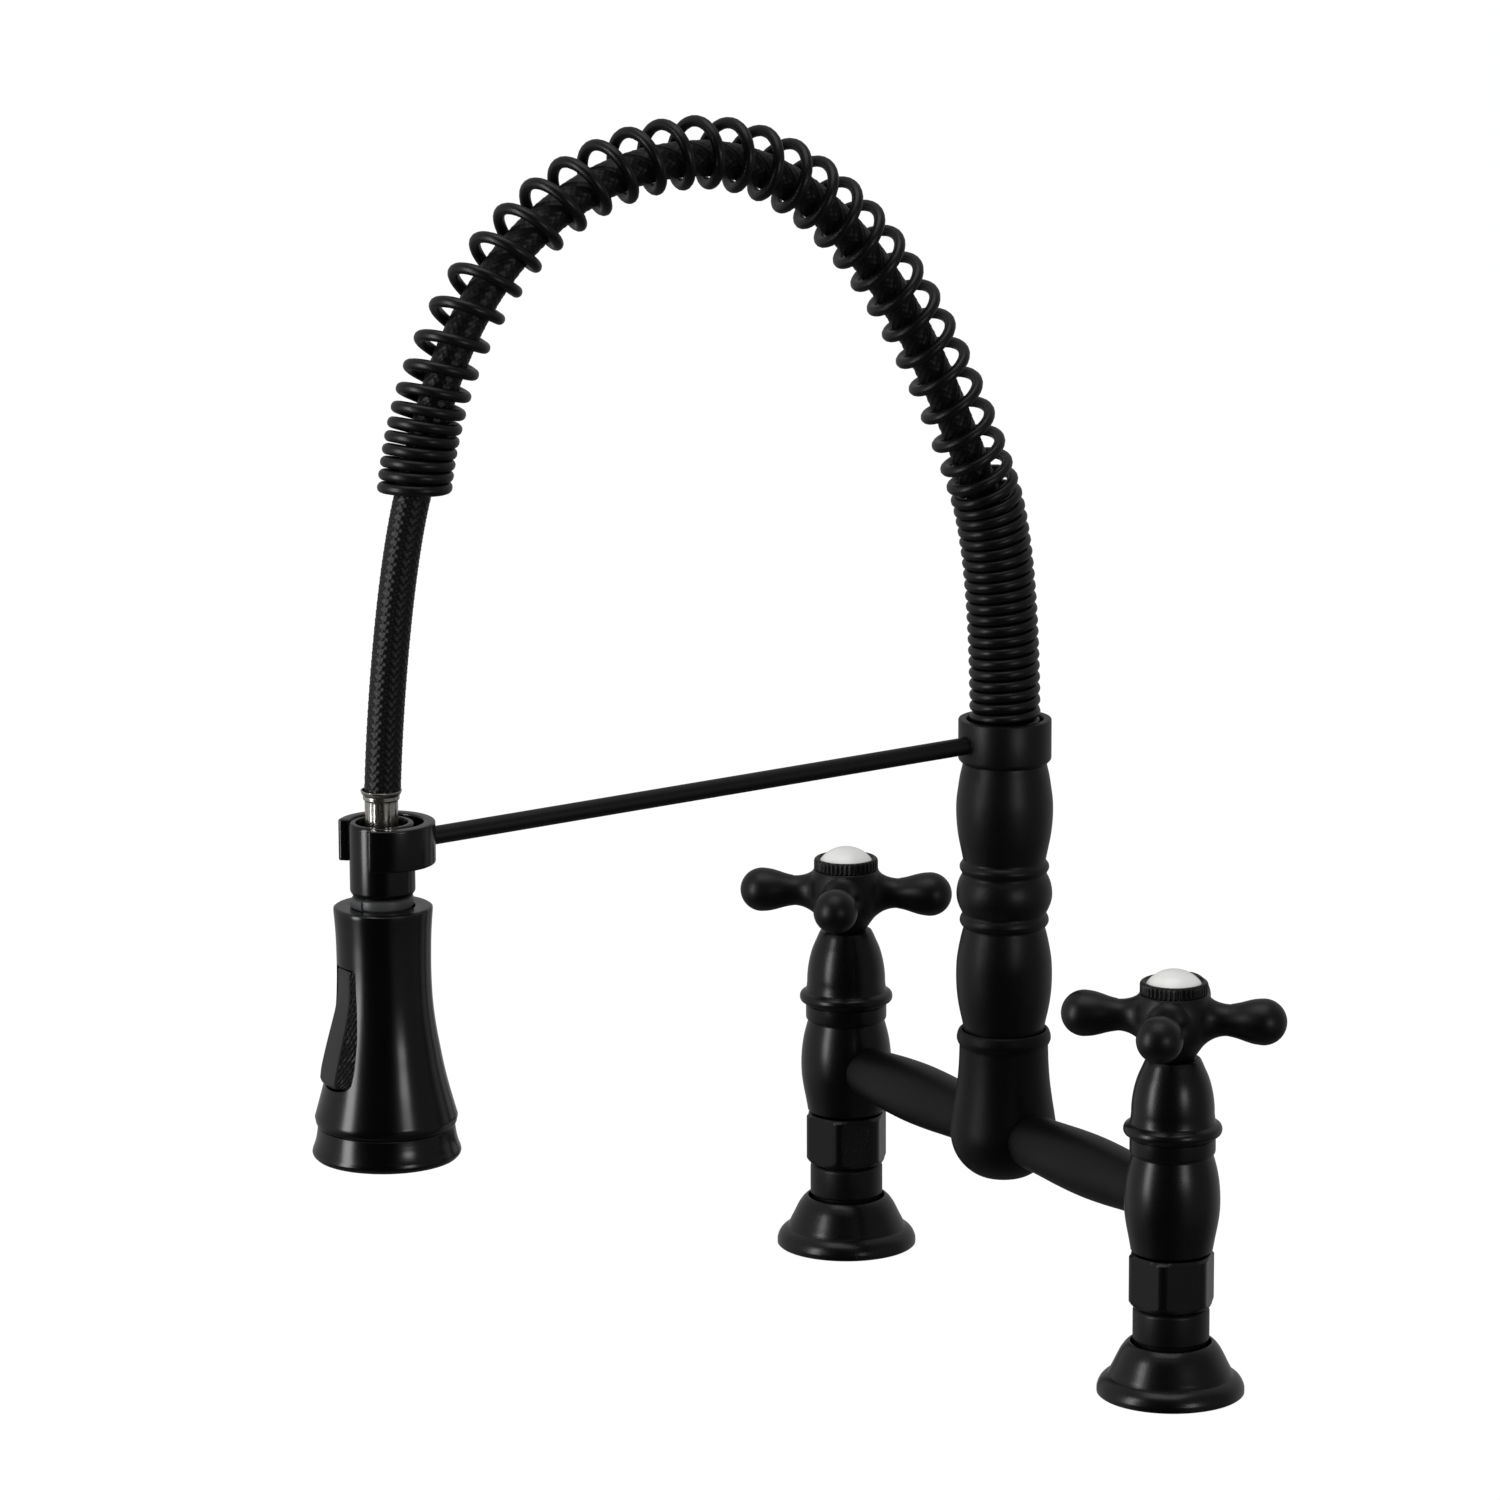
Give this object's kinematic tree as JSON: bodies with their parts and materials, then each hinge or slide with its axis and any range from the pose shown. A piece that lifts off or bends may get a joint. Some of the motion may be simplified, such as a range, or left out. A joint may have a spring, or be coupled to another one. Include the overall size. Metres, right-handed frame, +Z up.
{
  "type": "bridge kitchen faucet",
  "caption": "Two-handle bridge kitchen faucet with a turned column, a spring-wrapped hose arch and a pull-down spray wand held in a clip on a rod",
  "frame": {"origin": "on the worktop's surface, half way between the two valve axes", "axes": "+Z up along the column, -Y towards the user and the wand, -X the hot side, +X the cold side"},
  "size_m": [0.2627, 0.2927, 0.4768],
  "materials": {
    "black_finish": "matte black coating, soft highlights",
    "spring_wire": "satin black coating",
    "braided_hose": "black woven braid",
    "nickel": "bright nickel",
    "steel": "plain",
    "brass": "machined",
    "rubber": "matte",
    "nylon": "natural",
    "ceramic": "ground alumina",
    "white_button": "glossy white",
    "grey_plastic": "dark grey",
    "black_plastic": "moulded"
  },
  "bodies": {
    "base": {"hot_flange": "black_finish", "hot_base_gasket": "rubber", "hot_shank": "black_finish", "hot_deck_washer": "steel", "hot_locknut": "brass", "hot_union_nut": "black_finish", "hot_union_washer": "rubber", "hot_valve_body": "black_finish", "hot_cartridge": "brass", "hot_seat_disc": "ceramic", "hot_bonnet": "black_finish", "cold_flange": "black_finish", "cold_base_gasket": "rubber", "cold_shank": "black_finish", "cold_deck_washer": "steel", "cold_locknut": "brass", "cold_union_nut": "black_finish", "cold_union_washer": "rubber", "cold_valve_body": "black_finish", "cold_cartridge": "brass", "cold_seat_disc": "ceramic", "cold_bonnet": "black_finish", "bridge_arm_hot": "black_finish", "bridge_arm_cold": "black_finish", "tee_body": "black_finish", "retaining_screw": "steel", "swivel_bush": "nylon"},
    "hot_handle": {"hot_turning_disc": "ceramic", "hot_stem": "brass", "hot_cross_handle": "black_finish", "hot_handle_screw": "steel", "hot_index_ring": "black_finish", "hot_index_button": "white_button"},
    "cold_handle": {"cold_turning_disc": "ceramic", "cold_stem": "brass", "cold_cross_handle": "black_finish", "cold_handle_screw": "steel", "cold_index_ring": "black_finish", "cold_index_button": "white_button"},
    "spout": {"column": "black_finish", "column_oring_lower": "rubber", "column_oring_upper": "rubber", "hose_nipple": "brass", "spring_collar": "black_finish", "dock_rod": "black_finish", "dock_clip": "black_finish", "spring": "spring_wire", "hose_arch": "braided_hose", "hose_lower": "braided_hose"},
    "hose_end": {"hose_ferrule": "nickel"},
    "wand": {"wand_neck": "black_finish", "neck_ring": "grey_plastic", "wand_shell": "black_finish", "button_pin": "steel", "water_core": "black_plastic", "wand_skirt": "black_finish", "spray_face": "grey_plastic"},
    "button": {"spray_button": "black_plastic"}
  },
  "joints": [
    {"name": "hot_handle_turn", "type": "hinge", "parent": "base", "child": "hot_handle", "pos_m": [-0.1016, 0, 0.1283], "axis": [0, 0, 1], "range_deg": [0, 90]},
    {"name": "cold_handle_turn", "type": "hinge", "parent": "base", "child": "cold_handle", "pos_m": [0.1016, 0, 0.1283], "axis": [0, 0, 1], "range_deg": [-90, 0]},
    {"name": "spout_swivel", "type": "hinge", "parent": "base", "child": "spout", "pos_m": [0, 0, 0.099], "axis": [0, 0, 1], "continuous": true},
    {"name": "wand_pull", "type": "slide", "parent": "spout", "child": "hose_end", "axis": [0, 0, -1], "range_m": [0, 0.08], "stiffness_N_per_m": 60, "springref_m": -0.12, "deforming": ["hose_lower"]},
    {"name": "wand_spin", "type": "hinge", "parent": "hose_end", "child": "wand", "pos_m": [0, -0.2381, 0.195], "axis": [0, 0, 1], "continuous": true},
    {"name": "button_rock", "type": "hinge", "parent": "wand", "child": "button", "pos_m": [0, -0.25075, 0.139], "axis": [1, 0, 0], "range_deg": [0, 4]}
  ]
}
